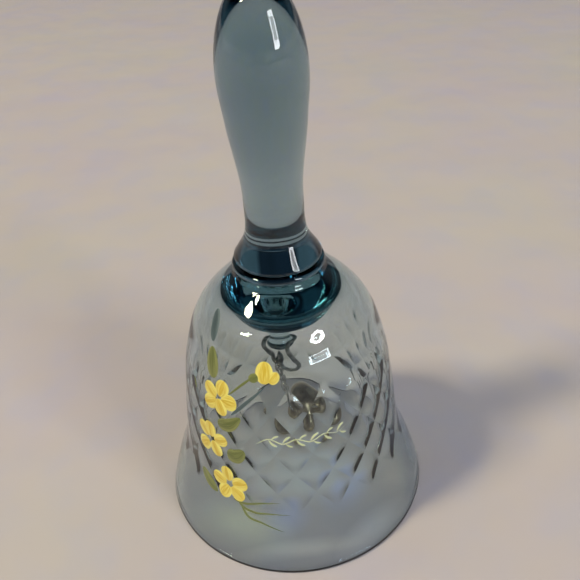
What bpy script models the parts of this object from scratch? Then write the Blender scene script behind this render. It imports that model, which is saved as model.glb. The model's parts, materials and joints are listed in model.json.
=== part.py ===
"""Glass table bell: a blown bowl with diamonds pressed into its inner wall, a collar and a solid handle,
and inside it a wire hanger on a glass button, a fine chain and a metal ball clapper that rests on the table.

Metres, +Z up. The origin is the middle of the rim, on the table. +X is to the right and -Y is the front.
"""

import math

import bmesh
import bpy
from mathutils import Matrix, Vector

MM = 0.001

# Clearances
GAP = 0.3 * MM
TABLE_GAP = 0.3 * MM

# Bowl, outside: each station's radius, and its height above the rim or its drop below the bowl's top
BOWL_HEIGHT = 87 * MM
RIM_RADIUS = 43.5 * MM
RIM_ROUND = 0.8 * MM
RIM_LAND = 1.2 * MM
LIP_RADIUS = 40.4 * MM
LIP_HEIGHT = 11 * MM
FLARE_RADIUS = 35.9 * MM
FLARE_HEIGHT = 24 * MM
WAIST_RADIUS = 33.6 * MM
WAIST_HEIGHT = 41 * MM
BELLY_RADIUS = 30.8 * MM
BELLY_HEIGHT = 59 * MM
SHOULDER_RADIUS = 25.3 * MM
SHOULDER_DROP = 13 * MM
CROWN_RADIUS = 20.3 * MM
CROWN_DROP = 7 * MM
NECK_RADIUS = 13.1 * MM
NECK_EDGE = 1 * MM

# Bowl, inside: an even wall, a round shoulder and a solid crown that bulges down as a plug to the button
WALL = 2.4 * MM
CROWN_THICKNESS = 9.5 * MM
CAVITY_FILLET = 1.4 * MM
CROWN_BULGE = 7.9 * MM
BUTTON_SEAT = 6.8 * MM

# Crown's underside between the cavity's edge and the button's seat: radius, and drop below the bowl's top
CROWN_UNDERSIDE = (
    (15 * MM, 9.2 * MM),
    (13 * MM, 10.4 * MM),
    (11.6 * MM, 12.5 * MM),
    (10.6 * MM, 14.8 * MM),
    (9.2 * MM, 16.4 * MM),
)

# Diamonds on the inner wall
DIAMOND_COUNT = 18
DIAMOND_ROWS = 3
DIAMOND_DEPTH = 0.8 * MM
DIAMOND_BOTTOM = 18.5 * MM
DIAMOND_TOP_MARGIN = 14 * MM
DIAMOND_SAMPLES = 2

# Collar between the bowl and the handle
COLLAR_RADIUS = 13.4 * MM
COLLAR_THICKNESS = 2.4 * MM

# Handle: radius and height above the foot's underside
HANDLE_FOOT_RADIUS = 12.6 * MM
HANDLE_FOOT_EDGE = 1.1 * MM
HANDLE_TOE_RADIUS = 9.2 * MM
HANDLE_TOE_HEIGHT = 7 * MM
HANDLE_STEM_RADIUS = 8.3 * MM
HANDLE_STEM_HEIGHT = 18 * MM
HANDLE_GRIP_RADIUS = 10.7 * MM
HANDLE_GRIP_HEIGHT = 41 * MM
HANDLE_BULB_RADIUS = 11.6 * MM
HANDLE_BULB_HEIGHT = 52 * MM
HANDLE_LENGTH = 75 * MM

# Glass button under the crown, set a little off the axis
BUTTON_OFFSET = -1.6 * MM
BUTTON_ROOT_RADIUS = 4.4 * MM
BUTTON_NECK_RADIUS = 2.9 * MM
BUTTON_NECK_DROP = 7.5 * MM
BUTTON_HEAD_RADIUS = 4.2 * MM
BUTTON_HEAD_DROP = 11.1 * MM
BUTTON_HEAD_DEPTH = 2.4 * MM

# Wire hanger: a ring round the button's neck, an eye for the chain and a clasp hook beside it
HANGER_WIRE = 1.4 * MM
HANGER_RING_GRIP = 0.5 * MM
HANGER_RING_RISE = 1.6 * MM
HANGER_DROP = 10.3 * MM
HANGER_TURN = math.radians(-21)
EYE_RADIUS = 1.45 * MM
EYE_OFFSET = -1.9 * MM
EYE_DEPTH = 0.7 * MM
CLASP_RADIUS = 3 * MM
CLASP_OFFSET = 2.9 * MM
CLASP_DEPTH = -1.1 * MM

# Turns of the hanger's wire, in degrees from +X
RING_START_ANGLE = 190
RING_END_ANGLE = -30
CLASP_TIP_ANGLE = -195

# Where the hanger's two strands pass low and high beside the button's head, as shares of their reach
LEFT_LOW_SHARE = Vector((-0.68, -0.36, 0))
LEFT_HIGH_SHARE = Vector((-0.78, -0.65, 0))
RIGHT_HIGH_SHARE = Vector((0.68, -0.76, 0))
RIGHT_LOW_SHARE = Vector((0.86, -0.5, 0))
STRAND_LOW_SHARE = 0.4
STRAND_HIGH_SHARE = 0.8

# Chain
JUMP_RING_RADIUS = 2.1 * MM
CHAIN_WIRE = 0.7 * MM
CHAIN_SLACK_RATIO = 1.14
LINK_LENGTH = 4.9 * MM
LINK_WIDTH = 2.9 * MM
CHAIN_SAG = math.radians(6)

# Clapper
BALL_RADIUS = 8 * MM
BALL_HOLE_DEPTH = 5 * MM
PIN_WIRE = 1.1 * MM
PIN_NECK = 0.8 * MM
CLAPPER_EYE_RADIUS = 1.6 * MM
CLAPPER_EYE_WIRE = 0.9 * MM

# Fineness of the round shapes
BOWL_SEGMENTS = DIAMOND_COUNT * DIAMOND_SAMPLES
BOWL_STEPS = 3
LOWER_WALL_ROWS = (0.2, 0.45, 0.7)
CEILING_STEPS = 2
HANDLE_SEGMENTS = 32
HANDLE_STEPS = 4
BALL_SEGMENTS = 24
RING_SEGMENTS = 20
EYE_STEPS = 13
HOOK_STEPS = 10
STRAND_STEPS = 4
LINK_END_STEPS = 7
PIN_SEGMENTS = 10
MERGE_DISTANCE = 0.001 * MM
SHARP_ANGLE = math.radians(40)
CORNER_CUT = 1 - math.cos(math.radians(45))

# Places worked out from the sizes
CAVITY_HEIGHT = BOWL_HEIGHT - CROWN_THICKNESS
DIAMOND_HEIGHT = (CAVITY_HEIGHT - DIAMOND_TOP_MARGIN - DIAMOND_BOTTOM) / DIAMOND_ROWS
CEILING_HEIGHT = CAVITY_HEIGHT - CROWN_BULGE
COLLAR_BASE = BOWL_HEIGHT + GAP
HANDLE_BASE = COLLAR_BASE + COLLAR_THICKNESS + GAP
BUTTON_TOP = CEILING_HEIGHT - GAP
BUTTON_HEAD_HEIGHT = BUTTON_TOP - BUTTON_HEAD_DROP
HANGER_RING_RADIUS = BUTTON_HEAD_RADIUS + HANGER_WIRE / 2 - HANGER_RING_GRIP
HANGER_RING_HEIGHT = BUTTON_HEAD_HEIGHT + HANGER_WIRE / 2 + HANGER_RING_RISE
EYE_HEIGHT = HANGER_RING_HEIGHT - HANGER_DROP
PIN_HOLE_RADIUS = PIN_WIRE / 2 + GAP


def start_empty():
    """Clear the scene of whatever it holds."""
    for thing in list(bpy.data.objects):
        bpy.data.objects.remove(thing, do_unlink=True)


def material(name, colour, roughness, metallic=0.0, transmission=0.0):
    """A plain Principled material."""
    finish = bpy.data.materials.new(name)
    finish.use_nodes = True
    shader = finish.node_tree.nodes["Principled BSDF"]
    shader.inputs["Base Color"].default_value = (*colour, 1.0)
    shader.inputs["Roughness"].default_value = roughness
    shader.inputs["Metallic"].default_value = metallic
    shader.inputs["Transmission Weight"].default_value = transmission
    finish.diffuse_color = (*colour, 1.0)
    return finish


def place(name, data, finish):
    """A new object in the scene, with one material."""
    thing = bpy.data.objects.new(name, data)
    data.materials.append(finish)
    bpy.context.collection.objects.link(thing)
    return thing


def smooth(stations, steps, before=None, after=None):
    """A smooth curve through the stations; the points before and after steer its two ends."""
    first = before if before is not None else 2 * stations[0] - stations[1]
    last = after if after is not None else 2 * stations[-1] - stations[-2]
    posts = [first, *stations, last]
    curve = []
    for a, b, c, d in zip(posts, posts[1:], posts[2:], posts[3:]):
        left = (b - a).length
        span = (c - b).length
        right = (d - c).length
        leave = ((b - a) / left * span + (c - b) / span * left) / (left + span) * span
        arrive = ((c - b) / span * right + (d - c) / right * span) / (span + right) * span
        for i in range(steps):
            t = i / steps
            here = b * (2 * t**3 - 3 * t**2 + 1) + leave * (t**3 - 2 * t**2 + t)
            curve.append(here + c * (3 * t**2 - 2 * t**3) + arrive * (t**3 - t**2))
    curve.append(stations[-1].copy())
    return curve


def arc(centre, radii, start, end, steps):
    """Points of an elliptical arc in a flat outline, both ends included."""
    angles = [start + (end - start) * i / steps for i in range(steps + 1)]
    return [centre + Vector((radii[0] * math.cos(a), radii[1] * math.sin(a))) for a in angles]


def radius_at(outline, height):
    """Radius of an outline of (radius, height) points, which climbs, at one height."""
    for low, high in zip(outline, outline[1:]):
        if low.y <= height <= high.y:
            share = (height - low.y) / (high.y - low.y)
            return low.x + (high.x - low.x) * share
    return outline[-1].x if height > outline[-1].y else outline[0].x


def turned_mesh(outline, segments):
    """Spin an outline of (radius, height) points round the Z axis into one closed body."""
    bm = bmesh.new()
    dots = [bm.verts.new((p.x, 0, p.y)) for p in outline]
    lines = [bm.edges.new(pair) for pair in zip(dots, dots[1:])]
    bmesh.ops.spin(bm, geom=dots + lines, cent=(0, 0, 0), axis=(0, 0, 1), angle=math.tau,
                   steps=segments, use_merge=True)
    bmesh.ops.remove_doubles(bm, verts=bm.verts, dist=MERGE_DISTANCE)
    bmesh.ops.recalc_face_normals(bm, faces=bm.faces)
    return bm


def finished_mesh(name, bm):
    """Store a bmesh as smooth-shaded mesh data."""
    mesh = bpy.data.meshes.new(name)
    bm.to_mesh(mesh)
    bm.free()
    mesh.shade_smooth()
    mesh.set_sharp_from_angle(angle=SHARP_ANGLE)
    return mesh


def bowl_outside(steps):
    """The bowl's outer wall, from just above the rim up to the neck."""
    stations = [
        Vector((RIM_RADIUS, RIM_ROUND)),
        Vector((LIP_RADIUS, LIP_HEIGHT)),
        Vector((FLARE_RADIUS, FLARE_HEIGHT)),
        Vector((WAIST_RADIUS, WAIST_HEIGHT)),
        Vector((BELLY_RADIUS, BELLY_HEIGHT)),
        Vector((SHOULDER_RADIUS, BOWL_HEIGHT - SHOULDER_DROP)),
        Vector((CROWN_RADIUS, BOWL_HEIGHT - CROWN_DROP)),
        Vector((NECK_RADIUS, BOWL_HEIGHT - NECK_EDGE)),
    ]
    return smooth(stations, steps)


def inside_radius(height):
    """The inner wall's radius, one wall's thickness in from the outer surface and square to it."""
    outside = bowl_outside(4 * BOWL_STEPS)
    step = WALL / 4
    slope = (radius_at(outside, height + step) - radius_at(outside, height - step)) / (2 * step)
    return radius_at(outside, height) - WALL * math.hypot(1, slope)


def diamond_depth(turn, height):
    """How deep the diamond pattern is cut, from 0 on its ridges to 1 in the middle of each diamond.

    A point of a diamond stands at the front. Only whole diamonds are cut, so the pattern ends in a zigzag.
    """
    across = turn * DIAMOND_COUNT + DIAMOND_COUNT / 4
    up = (height - DIAMOND_BOTTOM) / DIAMOND_HEIGHT
    rising = across + up
    falling = across - up
    if not 0 < math.floor(rising) - math.floor(falling) < 2 * DIAMOND_ROWS:
        return 0.0
    return 2 * min(abs(rising - round(rising)), abs(falling - round(falling)))


def bowl_outline():
    """The bowl's whole section, from the middle of its top down outside, round the rim and up inside."""
    outside = bowl_outside(BOWL_STEPS)
    top = [Vector((0, BOWL_HEIGHT)), Vector((NECK_RADIUS - NECK_EDGE / 2, BOWL_HEIGHT))]
    rim_inner = RIM_RADIUS - WALL
    land_outer = (rim_inner + RIM_RADIUS + RIM_LAND) / 2
    corner = CORNER_CUT * RIM_ROUND
    rim = [
        Vector((RIM_RADIUS - corner, corner)),
        Vector((land_outer, 0)),
        Vector((land_outer - RIM_LAND, 0)),
        Vector((rim_inner + corner, corner)),
        Vector((rim_inner, RIM_ROUND)),
    ]
    lower = [DIAMOND_BOTTOM * share for share in LOWER_WALL_ROWS]
    rows = DIAMOND_ROWS * DIAMOND_SAMPLES
    pattern = [DIAMOND_BOTTOM + DIAMOND_HEIGHT * i / DIAMOND_SAMPLES for i in range(rows + 1)]
    wall = [Vector((inside_radius(height), height)) for height in lower + pattern]
    peak = Vector((inside_radius(CAVITY_HEIGHT) - CAVITY_FILLET, CAVITY_HEIGHT))
    below_peak = CAVITY_HEIGHT - CAVITY_FILLET
    plug = [Vector((radius, BOWL_HEIGHT - drop)) for radius, drop in CROWN_UNDERSIDE]
    stations = [peak, *plug, Vector((BUTTON_SEAT, CEILING_HEIGHT))]
    ceiling = smooth(stations, CEILING_STEPS, before=Vector((inside_radius(below_peak), below_peak)))[1:]
    last_height = (wall[-1].y + CAVITY_HEIGHT) / 2
    last = Vector((inside_radius(last_height), last_height))
    shoulder = smooth([wall[-1], last, peak], BOWL_STEPS, before=wall[-2], after=ceiling[0])
    return top + outside[::-1] + rim + wall + shoulder[1:] + ceiling + [Vector((0, CEILING_HEIGHT))]


def make_bowl(finish):
    """The blown bowl with its solid crown and the diamonds on its inner wall."""
    bm = turned_mesh(bowl_outline(), BOWL_SEGMENTS)
    bm.normal_update()
    depth = {}
    for vert in bm.verts:
        radius = math.hypot(vert.co.x, vert.co.y)
        if radius and vert.normal.x * vert.co.x + vert.normal.y * vert.co.y < 0:
            turn = math.atan2(vert.co.y, vert.co.x) / math.tau
            depth[vert] = diamond_depth(turn, vert.co.z)
            grown = 1 + DIAMOND_DEPTH * depth[vert] / radius
            vert.co.x *= grown
            vert.co.y *= grown
    # Each four-sided face is split along its ridge, so that the diamonds keep straight edges
    for face in [f for f in bm.faces if len(f.verts) == 4 and all(v in depth for v in f.verts)]:
        a, b, c, d = face.verts
        if abs(depth[a] + depth[c] - depth[b] - depth[d]) > 0.01:
            ridge = (a, c) if depth[a] + depth[c] < depth[b] + depth[d] else (b, d)
            bmesh.utils.face_split(face, *ridge)
    return place("bell_bowl", finished_mesh("bell_bowl", bm), finish)


def make_collar(finish):
    """The round-edged disc of glass between the bowl and the handle."""
    half = COLLAR_THICKNESS / 2
    edge = arc(Vector((COLLAR_RADIUS - half, half)), (half, half), -math.pi / 2, math.pi / 2, 8)
    outline = [Vector((0, 0)), *edge, Vector((0, COLLAR_THICKNESS))]
    collar = place("collar", finished_mesh("collar", turned_mesh(outline, BOWL_SEGMENTS)), finish)
    collar.location.z = COLLAR_BASE
    return collar


def make_handle(finish):
    """The solid handle: a flared foot, a slim stem, a swelling grip and a round end."""
    bulb = Vector((0, HANDLE_BULB_HEIGHT))
    cap = arc(bulb, (HANDLE_BULB_RADIUS, HANDLE_LENGTH - HANDLE_BULB_HEIGHT), 0, math.pi / 2, 9)
    stations = [
        Vector((HANDLE_FOOT_RADIUS, HANDLE_FOOT_EDGE)),
        Vector((HANDLE_TOE_RADIUS, HANDLE_TOE_HEIGHT)),
        Vector((HANDLE_STEM_RADIUS, HANDLE_STEM_HEIGHT)),
        Vector((HANDLE_GRIP_RADIUS, HANDLE_GRIP_HEIGHT)),
        Vector((HANDLE_BULB_RADIUS, HANDLE_BULB_HEIGHT)),
    ]
    stem = smooth(stations, HANDLE_STEPS, after=cap[1])
    corner = CORNER_CUT * HANDLE_FOOT_EDGE
    foot = [
        Vector((0, 0)),
        Vector((HANDLE_FOOT_RADIUS - HANDLE_FOOT_EDGE, 0)),
        Vector((HANDLE_FOOT_RADIUS - corner, corner)),
    ]
    tip = [*cap[1:-1], Vector((0, HANDLE_LENGTH))]
    body = turned_mesh(foot + stem + tip, HANDLE_SEGMENTS)
    handle = place("handle", finished_mesh("handle", body), finish)
    handle.location.z = HANDLE_BASE
    return handle


def make_button(finish):
    """The glass button that hangs from the crown: a spread root, a neck and a round head."""
    head = Vector((0, -BUTTON_HEAD_DROP))
    under = arc(head, (BUTTON_HEAD_RADIUS, BUTTON_HEAD_DEPTH), 0, -math.pi / 2, 4)
    stations = [
        Vector((BUTTON_ROOT_RADIUS, 0)),
        Vector((BUTTON_NECK_RADIUS, -BUTTON_NECK_DROP)),
        Vector((BUTTON_HEAD_RADIUS, -BUTTON_HEAD_DROP)),
    ]
    side = smooth(stations, 5, after=under[1])
    outline = [Vector((0, 0)), *side, *under[1:-1], Vector((0, -BUTTON_HEAD_DROP - BUTTON_HEAD_DEPTH))]
    body = turned_mesh(outline, BALL_SEGMENTS)
    button = place("hanger_button", finished_mesh("hanger_button", body), finish)
    button.location = (BUTTON_OFFSET, 0, BUTTON_TOP)
    return button


def upright_arc(centre, radius, start, end, steps):
    """Points of a circle in the XZ plane, in degrees from +X."""
    angles = [math.radians(start + (end - start) * i / steps) for i in range(steps + 1)]
    return [centre + Vector((radius * math.cos(a), 0, radius * math.sin(a))) for a in angles]


def level_arc(radius, height, start, end, steps):
    """Points of a circle round the Z axis, in degrees from +X."""
    angles = [math.radians(start + (end - start) * i / steps) for i in range(steps + 1)]
    return [Vector((radius * math.cos(a), radius * math.sin(a), height)) for a in angles]


def hanger_route():
    """The hanger's wire, from the chain's eye round the button's neck and down to the clasp's tip."""
    eye = Vector((EYE_OFFSET, EYE_DEPTH, EYE_HEIGHT))
    closing = math.degrees(math.acos((HANGER_WIRE + GAP) / EYE_RADIUS - 1))
    eye_turn = upright_arc(eye, EYE_RADIUS, 360 + closing, 180, EYE_STEPS)
    ring = level_arc(HANGER_RING_RADIUS, HANGER_RING_HEIGHT, RING_START_ANGLE, RING_END_ANGLE, EYE_STEPS)
    clasp = Vector((CLASP_OFFSET, CLASP_DEPTH, EYE_HEIGHT))
    hook = upright_arc(clasp, CLASP_RADIUS, 0, CLASP_TIP_ANGLE, HOOK_STEPS)
    reach = BUTTON_HEAD_RADIUS + HANGER_WIRE / 2 + 2 * GAP
    low = Vector((0, 0, EYE_HEIGHT + STRAND_LOW_SHARE * HANGER_DROP))
    high = Vector((0, 0, EYE_HEIGHT + STRAND_HIGH_SHARE * HANGER_DROP))
    left = [eye_turn[-1], low + reach * LEFT_LOW_SHARE, high + reach * LEFT_HIGH_SHARE, ring[0]]
    right = [ring[-1], high + reach * RIGHT_HIGH_SHARE, low + reach * RIGHT_LOW_SHARE, hook[0]]
    rising = smooth(left, STRAND_STEPS, before=eye_turn[-2], after=ring[1])
    falling = smooth(right, STRAND_STEPS, before=ring[-2], after=hook[1])
    return eye_turn[:-1] + rising[:-1] + ring[:-1] + falling[:-1] + hook


def wire(name, points, thickness, finish, fineness, ring=False):
    """A round wire along a row of points, closed into a ring or with flat ends."""
    route = bpy.data.curves.new(name, "CURVE")
    route.dimensions = "3D"
    route.bevel_depth = thickness / 2
    route.bevel_resolution = fineness
    route.use_fill_caps = True
    route.render_resolution_u = 0
    run = route.splines.new("POLY")
    run.points.add(len(points) - 1)
    for dot, point in zip(run.points, points):
        dot.co = (*point, 1.0)
    run.use_cyclic_u = ring
    return place(name, route, finish)


def make_hanger(finish):
    """The wire hanger, turned on the button's axis so that its eye faces the way the chain leans."""
    hanger = wire("hanger_wire", hanger_route(), HANGER_WIRE, finish, 2)
    hanger.location.x = BUTTON_OFFSET
    hanger.rotation_euler.z = HANGER_TURN
    return hanger


def oval(top, length, width, steps):
    """An upright oval of wire centres in the XZ plane, with round ends, below a top point."""
    radius = width / 2
    upper = top - Vector((0, 0, radius))
    lower = top - Vector((0, 0, length - radius))
    return upright_arc(upper, radius, 0, 180, steps) + upright_arc(lower, radius, 180, 360, steps)


def chain_room():
    """The height from the wire that carries the chain down to the middle of a ball on the table."""
    return EYE_HEIGHT - EYE_RADIUS - BALL_RADIUS - TABLE_GAP


def chain_steps():
    """Each hanging piece's name, its top's height above its hinge, and its length to its lower wire.

    The chain has as many links as make it longer than the height it hangs over by its slack.
    """
    ring_gap = (HANGER_WIRE + CHAIN_WIRE) / 2 + GAP
    ring_length = 2 * JUMP_RING_RADIUS
    link_gap = CHAIN_WIRE + GAP
    link_length = LINK_LENGTH - CHAIN_WIRE
    eye_gap = (CHAIN_WIRE + CLAPPER_EYE_WIRE) / 2 + GAP
    ball_drop = 2 * CLAPPER_EYE_RADIUS + CLAPPER_EYE_WIRE / 2 + PIN_NECK + BALL_RADIUS
    left_for_links = CHAIN_SLACK_RATIO * chain_room() - (ring_length - ring_gap) - (ball_drop - eye_gap)
    count = max(1, round(left_for_links / (link_length - link_gap)))
    links = [(f"chain_link_{number:02d}", link_gap, link_length) for number in range(1, count + 1)]
    return [("jump_ring", ring_gap, ring_length), *links, ("clapper", eye_gap, ball_drop)]


def chain_leans(first, sag):
    """Each piece's angle from straight down: only every other hinge can bend the way the chain leans."""
    return [first + sag * (number // 2) for number in range(len(chain_steps()))]


def chain_fall(leans):
    """How far the ball's centre lies below the wire that carries the chain."""
    return sum((length - gap) * math.cos(lean) for (_, gap, length), lean in zip(chain_steps(), leans))


def resting_leans():
    """The angles at which the ball lies on the table, or straight down if the chain is too short."""
    room = chain_room()
    for sag in (CHAIN_SAG, 0.0):
        if chain_fall(chain_leans(0.0, sag)) > room:
            low = 0.0
            high = math.radians(60)
            for _ in range(40):
                middle = (low + high) / 2
                if chain_fall(chain_leans(middle, sag)) > room:
                    low = middle
                else:
                    high = middle
            return chain_leans(low, sag)
    return chain_leans(0.0, 0.0)


def chain_frames():
    """A frame for each hanging piece: its origin is on its hinge and -Z is the way that it hangs.

    A piece's ring lies in its XZ plane, and each is a quarter turn on from the one above, so that its own
    Y axis, on which it hinges, lies along the wire that carries it.
    """
    turn = Matrix.Rotation(HANGER_TURN, 4, "Z")
    across = turn @ Vector((1, 0, 0))
    hinge = turn @ Vector((EYE_OFFSET, EYE_DEPTH, EYE_HEIGHT - EYE_RADIUS)) + Vector((BUTTON_OFFSET, 0, 0))
    frames = []
    for number, ((_, gap, length), lean) in enumerate(zip(chain_steps(), resting_leans())):
        down = turn @ Vector((0, math.sin(lean), -math.cos(lean)))
        flat = down.cross(across)
        side = (flat, across, -flat, -across)[number % 4]
        frame = Matrix((side, (-down).cross(side), -down)).transposed().to_4x4()
        frame.translation = hinge
        frames.append(frame)
        hinge = hinge + down * (length - gap)
    return frames


def hang(thing, frame):
    """Put a hanging piece in its frame."""
    thing.location = frame.translation
    thing.rotation_mode = "QUATERNION"
    thing.rotation_quaternion = frame.to_quaternion()


def make_chain(finish):
    """The jump ring in the hanger's eye and the oval links below it."""
    pieces = []
    for (name, gap, length), frame in zip(chain_steps()[:-1], chain_frames()):
        top = Vector((0, 0, gap))
        if name == "jump_ring":
            centre = top - Vector((0, 0, JUMP_RING_RADIUS))
            points = upright_arc(centre, JUMP_RING_RADIUS, 0, 360, RING_SEGMENTS)[:-1]
        else:
            points = oval(top, length, LINK_WIDTH - CHAIN_WIRE, LINK_END_STEPS)
        piece = wire(name, points, CHAIN_WIRE, finish, 1, ring=True)
        hang(piece, frame)
        pieces.append(piece)
    return pieces


def ring_mesh(radius, thickness, segments, sides):
    """A wire ring in the XZ plane, round the origin, as a bmesh."""
    bm = bmesh.new()
    section = bmesh.ops.create_circle(bm, segments=sides, radius=thickness / 2)["verts"]
    bmesh.ops.translate(bm, verts=section, vec=(radius, 0, 0))
    bmesh.ops.spin(bm, geom=section + bm.edges[:], cent=(0, 0, 0), axis=(0, 1, 0), angle=math.tau,
                   steps=segments, use_merge=True)
    bmesh.ops.remove_doubles(bm, verts=bm.verts, dist=MERGE_DISTANCE)
    bmesh.ops.recalc_face_normals(bm, faces=bm.faces)
    return bm


def make_clapper(wire_finish, ball_finish):
    """The ball, drilled for a pin, and the pin with its eye."""
    _, gap, length = chain_steps()[-1]
    frame = chain_frames()[-1]
    centre = gap - length
    hole_top = math.sqrt(BALL_RADIUS**2 - PIN_HOLE_RADIUS**2)
    start = math.asin(hole_top / BALL_RADIUS)
    skin = arc(Vector((0, centre)), (BALL_RADIUS, BALL_RADIUS), start, -math.pi / 2, 11)
    floor = centre + BALL_RADIUS - BALL_HOLE_DEPTH
    hole = [Vector((0, floor)), Vector((PIN_HOLE_RADIUS, floor))]
    body = turned_mesh([*hole, *skin[:-1], Vector((0, centre - BALL_RADIUS))], BALL_SEGMENTS)
    ball = place("clapper_ball", finished_mesh("clapper_ball", body), ball_finish)
    hang(ball, frame)

    ring = ring_mesh(CLAPPER_EYE_RADIUS, CLAPPER_EYE_WIRE, RING_SEGMENTS, PIN_SEGMENTS)
    bmesh.ops.translate(ring, verts=ring.verts, vec=(0, 0, gap - CLAPPER_EYE_RADIUS))
    eye = place("clapper_eye", finished_mesh("clapper_eye", ring), wire_finish)
    hang(eye, frame)

    pin_top = gap - 2 * CLAPPER_EYE_RADIUS
    pin_end = floor + GAP
    pin = bmesh.new()
    bmesh.ops.create_cone(pin, cap_ends=True, segments=PIN_SEGMENTS, radius1=PIN_WIRE / 2,
                          radius2=PIN_WIRE / 2, depth=pin_top - pin_end)
    bmesh.ops.translate(pin, verts=pin.verts, vec=(0, 0, (pin_top + pin_end) / 2))
    cutter = place("pin_shape", finished_mesh("pin_shape", pin), wire_finish)
    cutter.hide_render = True
    cutter.display_type = "WIRE"
    hang(cutter, frame)
    union = eye.modifiers.new("pin", "BOOLEAN")
    union.operation = "UNION"
    union.object = cutter
    return ball, eye


def main():
    start_empty()
    glass = material("blue_glass", (0.45, 0.66, 0.74), 0.02, transmission=1.0)
    steel = material("hanger_steel", (0.33, 0.33, 0.32), 0.3, metallic=1.0)
    chain_metal = material("chain_metal", (0.6, 0.58, 0.54), 0.22, metallic=1.0)
    ball_metal = material("clapper_metal", (0.28, 0.24, 0.19), 0.25, metallic=1.0)
    make_bowl(glass)
    make_collar(glass)
    make_handle(glass)
    make_button(glass)
    make_hanger(steel)
    make_chain(chain_metal)
    make_clapper(chain_metal, ball_metal)


main()
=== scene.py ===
# %% [markdown]
# # A hand-painted glass table bell
#
# The bell is blue-grey blown glass: a bowl with diamonds pressed into its inner wall, a small collar and a
# solid handle. A wire hanger and a fine chain carry a metal ball inside it, and flowers are painted on the
# front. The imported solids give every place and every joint. This script dresses them with two closed pieces
# of glass, fine wires and links, raised strokes of enamel, and the light that makes glass look like glass.

# %% Load the frame
import json
import math

import bmesh
import bpy
from mathutils import Matrix, Vector


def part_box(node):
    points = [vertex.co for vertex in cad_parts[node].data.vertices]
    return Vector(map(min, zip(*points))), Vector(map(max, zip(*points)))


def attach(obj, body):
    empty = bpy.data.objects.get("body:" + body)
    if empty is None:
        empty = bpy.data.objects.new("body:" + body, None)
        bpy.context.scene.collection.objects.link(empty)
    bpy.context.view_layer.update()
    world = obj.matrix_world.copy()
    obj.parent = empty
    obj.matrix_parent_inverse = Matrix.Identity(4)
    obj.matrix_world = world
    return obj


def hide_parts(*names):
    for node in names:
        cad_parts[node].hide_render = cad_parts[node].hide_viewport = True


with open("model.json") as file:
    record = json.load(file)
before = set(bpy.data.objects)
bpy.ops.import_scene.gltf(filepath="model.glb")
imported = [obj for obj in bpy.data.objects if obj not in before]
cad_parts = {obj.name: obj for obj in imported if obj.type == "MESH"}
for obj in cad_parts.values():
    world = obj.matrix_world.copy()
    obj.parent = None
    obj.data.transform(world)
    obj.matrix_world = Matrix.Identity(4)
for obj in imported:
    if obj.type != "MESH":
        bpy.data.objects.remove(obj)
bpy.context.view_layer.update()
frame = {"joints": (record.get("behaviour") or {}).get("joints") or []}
MM = 0.001

# %% [markdown]
# ## Turned shapes
#
# A bell, a handle and a button are all turned about an upright axis. Half of the section is drawn as a row
# of (radius, height) points, and a spin sweeps it round. A smooth curve runs through a few measured
# stations, so that each radius stays where the maker's gauge would find it. Round edges are arcs.

# %% A smooth line through stations
def mm(*rows):
    """Stations given in millimetres, as vectors in metres."""
    return [Vector(row) * MM for row in rows]


def smooth_line(stations, steps, before=None, after=None):
    """A smooth curve through the stations; the points before and after steer its two ends."""
    first = before if before is not None else 2 * stations[0] - stations[1]
    last = after if after is not None else 2 * stations[-1] - stations[-2]
    posts = [first, *stations, last]
    line = []
    for a, b, c, d in zip(posts, posts[1:], posts[2:], posts[3:]):
        left = (b - a).length
        span = (c - b).length
        right = (d - c).length
        leave = ((b - a) / left * span + (c - b) / span * left) / (left + span) * span
        arrive = ((c - b) / span * right + (d - c) / right * span) / (span + right) * span
        for i in range(steps):
            t = i / steps
            here = b * (2 * t**3 - 3 * t**2 + 1) + leave * (t**3 - 2 * t**2 + t)
            line.append(here + c * (3 * t**2 - 2 * t**3) + arrive * (t**3 - t**2))
    line.append(stations[-1].copy())
    return line


print("a line through 3 stations:", len(smooth_line(mm((0, 0), (1, 1), (2, 0)), 8)), "points")

# %% Arcs
def outline_arc(centre, radii, start, end, steps):
    """Points of an elliptical arc in a flat outline, from one angle in degrees to another."""
    angles = [math.radians(start + (end - start) * i / steps) for i in range(steps + 1)]
    return [centre + Vector((radii[0] * math.cos(a), radii[1] * math.sin(a))) for a in angles]


print("a quarter circle in 6 steps:", len(outline_arc(Vector((0, 0)), (1, 1), 90, 0, 6)), "points")

# %% [markdown]
# The spin leaves many corners at one place on the axis and two along the seam. They are merged before the
# faces are turned outwards, because only a closed skin has an outside. Every piece then ends in the same
# way: it is shaded smooth except over sharp bends, rides on one body, and hides the imported solids that it
# stands for.

# %% Spin an outline
WELD = 0.0005 * MM


def turned(outline, segments):
    """Spin an outline of (radius, height) points round Z into one closed body."""
    bm = bmesh.new()
    dots = [bm.verts.new((point.x, 0, point.y)) for point in outline]
    lines = [bm.edges.new(pair) for pair in zip(dots, dots[1:])]
    bmesh.ops.spin(bm, geom=dots + lines, cent=(0, 0, 0), axis=(0, 0, 1), angle=math.tau,
                   steps=segments, use_merge=True)
    bmesh.ops.remove_doubles(bm, verts=bm.verts, dist=WELD)
    bmesh.ops.recalc_face_normals(bm, faces=bm.faces)
    return bm


print("corners closer than", WELD / MM, "mm are merged")

# %% Finish a piece
SHARP_BEND = 40


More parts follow.
